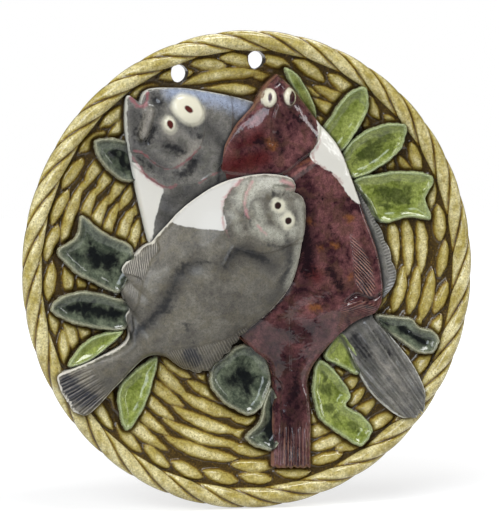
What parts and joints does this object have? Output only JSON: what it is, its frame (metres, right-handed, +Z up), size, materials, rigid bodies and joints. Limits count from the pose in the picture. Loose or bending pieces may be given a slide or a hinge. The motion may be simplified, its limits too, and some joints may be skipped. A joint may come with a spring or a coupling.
{
  "type": "palissy ware wall dish",
  "caption": "Oval glazed earthenware wall dish: flatfish and leaves in high relief on a basket-weave ground inside a twisted rope rim, with a foot ring and hanging holes.",
  "frame": {"origin": "middle of the wall bearing: the flat back of the foot ring, straight above the middle of the dish", "axes": "+Z up along the dish's height, -Y the way the relief faces, +X to the right of someone looking at the relief"},
  "size_m": [0.2292, 0.0393, 0.2392],
  "materials": {
    "glaze": "glossy lead glaze, straw yellow on the basket, grey, aubergine and green on the relief"
  },
  "bodies": {
    "root": {"dish": "glaze"}
  },
  "joints": []
}
